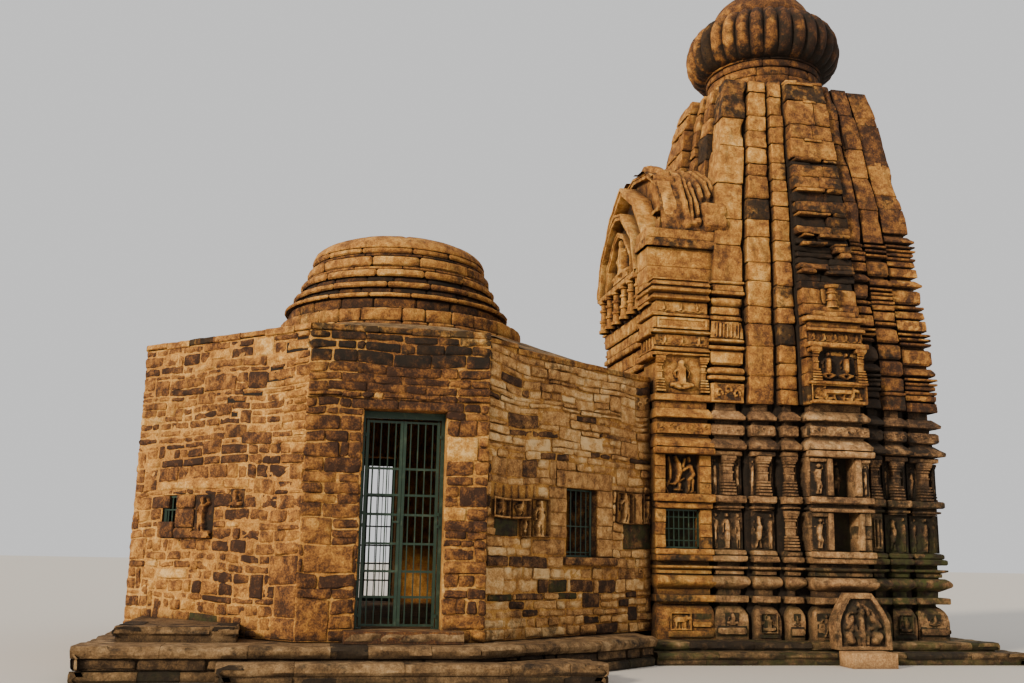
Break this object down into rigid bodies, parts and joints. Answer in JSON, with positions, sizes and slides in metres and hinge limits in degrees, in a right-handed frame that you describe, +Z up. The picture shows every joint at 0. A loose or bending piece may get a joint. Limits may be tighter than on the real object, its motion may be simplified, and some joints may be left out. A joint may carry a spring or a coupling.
{
  "type": "stone hindu temple",
  "caption": "Small stone temple: a walled hall under a stepped dome with barred gates, joined to a tall carved spire over a shrine cell.",
  "frame": {"origin": "on the ground under the hall, on the long axis and midway along the front wall with the gate", "axes": "+X runs from the hall to the tower, -Y is the front with the opening gate, +Z up"},
  "size_m": [13.89, 10.096, 13.16],
  "materials": {
    "wall_stone": "rough sandstone courses in pale mortar",
    "carved_stone": "weathered carved sandstone",
    "paving_stone": "worn dark sandstone slabs",
    "gate_paint": "dark green gloss paint, dusty"
  },
  "bodies": {
    "temple": {"hall_plinth": "paving_stone", "front_step": "paving_stone", "back_step": "paving_stone", "hall_floor": "paving_stone", "front_threshold": "paving_stone", "back_threshold": "paving_stone", "front_wall_left": "wall_stone", "front_wall_right": "wall_stone", "front_wall_over_door": "wall_stone", "back_wall": "wall_stone", "west_wall": "wall_stone", "front_slanted_wall_left": "wall_stone", "back_slanted_wall_left": "wall_stone", "front_slanted_wall_right": "wall_stone", "back_slanted_wall_right": "wall_stone", "hall_coping": "wall_stone", "roof_slope": "wall_stone", "dome_drum": "carved_stone", "dome_lower_rings": "carved_stone", "dome_upper_rings": "carved_stone", "dome_cap": "carved_stone", "tower_plinth": "paving_stone", "foot_block": "paving_stone", "front_antechamber_wall": "carved_stone", "back_antechamber_wall": "carved_stone", "antechamber_ceiling": "carved_stone", "front_tower_base": "carved_stone", "back_tower_base": "carved_stone", "east_tower_base": "carved_stone", "front_tower_wall": "carved_stone", "back_tower_wall": "carved_stone", "east_tower_wall": "carved_stone", "cell_door_wall": "carved_stone", "cell_floor": "paving_stone", "cell_ceiling": "carved_stone", "gable_base": "carved_stone", "gable_block": "carved_stone", "spire_lower": "carved_stone", "spire_middle": "carved_stone", "spire_upper": "carved_stone", "neck": "carved_stone", "ribbed_disc": "carved_stone", "crown": "carved_stone", "gate_frame": "gate_paint", "back_gate": "gate_paint", "west_gate": "gate_paint"},
    "left_gate_leaf": {"gate_leaf_left": "gate_paint"},
    "right_gate_leaf": {"gate_leaf_right": "gate_paint"}
  },
  "joints": [
    {"name": "left_gate_hinge", "type": "hinge", "parent": "temple", "child": "left_gate_leaf", "pos_m": [-0.394, -3.813, 0.6], "axis": [0, 0, 1], "range_deg": [0, 90]},
    {"name": "right_gate_hinge", "type": "hinge", "parent": "temple", "child": "right_gate_leaf", "pos_m": [0.564, -3.813, 0.6], "axis": [0, 0, 1], "range_deg": [-90, 0]}
  ]
}
